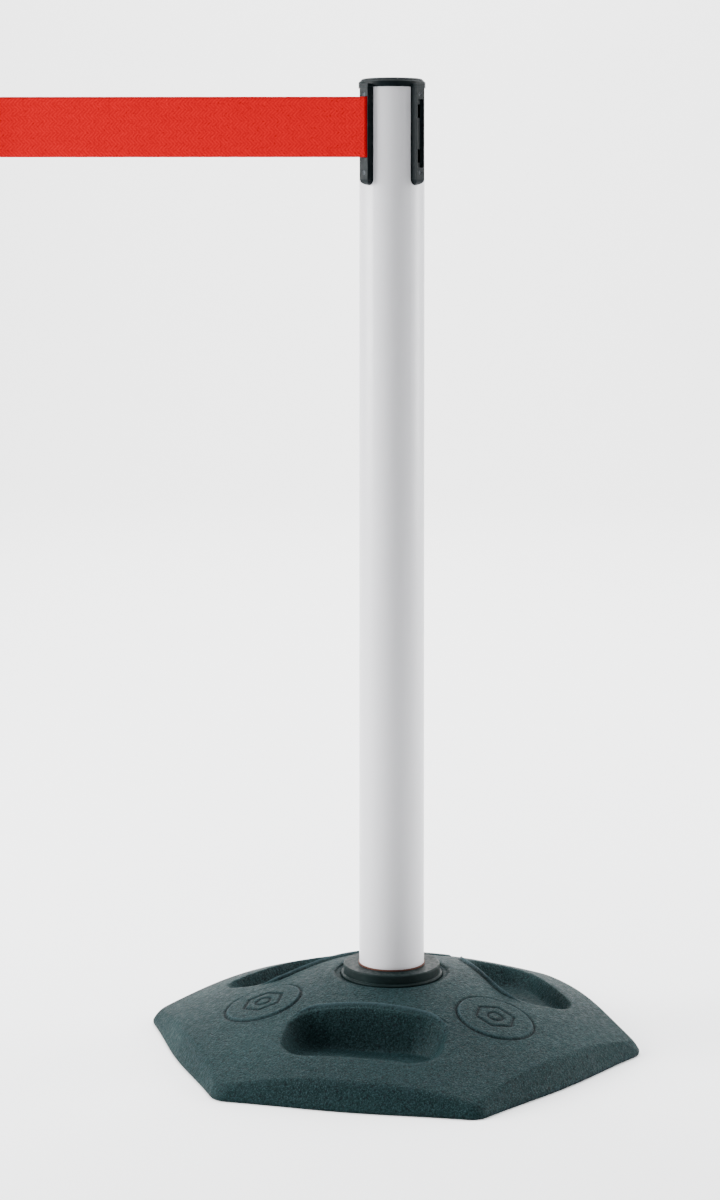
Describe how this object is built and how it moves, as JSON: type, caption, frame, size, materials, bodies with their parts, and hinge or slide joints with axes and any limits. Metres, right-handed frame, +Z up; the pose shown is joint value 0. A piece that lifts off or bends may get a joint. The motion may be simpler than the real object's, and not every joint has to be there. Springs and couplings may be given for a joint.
{
  "type": "retractable belt barrier post",
  "caption": "Free-standing round post with a retractable webbing belt, four-way head and heavy hexagonal rubber base, for guiding queues and closing off areas.",
  "frame": {"origin": "centre of the base's underside, on the post's axis, on the floor", "axes": "+Z up along the post; -X is the way the belt outlet faces; +Y follows the right-hand rule"},
  "size_m": [0.5695, 0.5046, 0.9408],
  "materials": {
    "rubber": "matt, finely grained",
    "steel_zinc": "bright zinc plate",
    "black_plastic": "fine spark texture",
    "gasket": "smooth",
    "tube_paint": "satin powder coat",
    "white_plastic": "natural acetal",
    "bronze": "sintered bronze",
    "spring_steel": "blued spring strip",
    "black_steel": "blackened screws",
    "webbing": "woven polyester"
  },
  "bodies": {
    "post": {"rubber_base": "rubber", "clamp_plate": "steel_zinc", "base_bolt": "steel_zinc", "lock_washer": "steel_zinc", "collar": "black_plastic", "seal_ring": "gasket", "foot_plug": "black_plastic", "captive_nut": "steel_zinc", "post_tube": "tube_paint", "head_ring": "black_plastic", "top_cap": "black_plastic", "outlet_rail": "black_plastic", "receiver_right": "black_plastic", "receiver_back": "black_plastic", "receiver_front": "black_plastic", "rail_screws": "black_steel", "cassette_shell": "black_plastic", "cassette_lid": "black_plastic", "spool_axle": "steel_zinc", "axle_clip": "spring_steel", "spring_case": "black_plastic", "spring_cover": "black_plastic", "roller_pin": "steel_zinc", "belt_inner_run": "webbing"},
    "spool": {"spool": "white_plastic", "belt_coil": "webbing", "upper_bush": "bronze", "lower_bush": "bronze", "power_spring": "spring_steel"},
    "roller": {"guide_roller": "white_plastic"},
    "belt_run": {"belt_free_run": "webbing"},
    "belt_end": {"belt_end_loop": "webbing", "clip_pin": "steel_zinc", "clip_left_shell": "black_plastic", "clip_right_shell": "black_plastic", "clip_screws": "steel_zinc", "latch_spring": "spring_steel"},
    "latch": {"clip_latch": "black_plastic"}
  },
  "joints": [
    {"name": "belt_swing", "type": "hinge", "parent": "post", "child": "belt_run", "pos_m": [-0.0386, -0.00318, 0.8932], "axis": [0, 0, 1], "range_deg": [-20, 110]},
    {"name": "belt_pull", "type": "slide", "parent": "belt_run", "child": "belt_end", "axis": [-0.7071, 0.7071, 0], "range_m": [-0.361, 1.85], "deforming": ["belt_free_run"]},
    {"name": "spool_spin", "type": "hinge", "parent": "post", "child": "spool", "pos_m": [0, 0, 0.89], "axis": [0, 0, 1], "range_deg": [-5800, 1200]},
    {"name": "roller_spin", "type": "hinge", "parent": "post", "child": "roller", "pos_m": [-0.0226, -0.0058, 0.89], "axis": [0, 0, 1], "range_deg": [-9600, 48600]},
    {"name": "clip_latch_slide", "type": "slide", "parent": "belt_end", "child": "latch", "axis": [0.7071, -0.7071, 0], "range_m": [0, 0.003], "stiffness_N_per_m": 250, "springref_m": -0.002, "deforming": ["latch_spring"]}
  ],
  "couplings": [
    {"joint": "spool_spin", "follows": "belt_pull", "rad_per_m": -52.91},
    {"joint": "roller_spin", "follows": "belt_pull", "rad_per_m": 454.55}
  ]
}
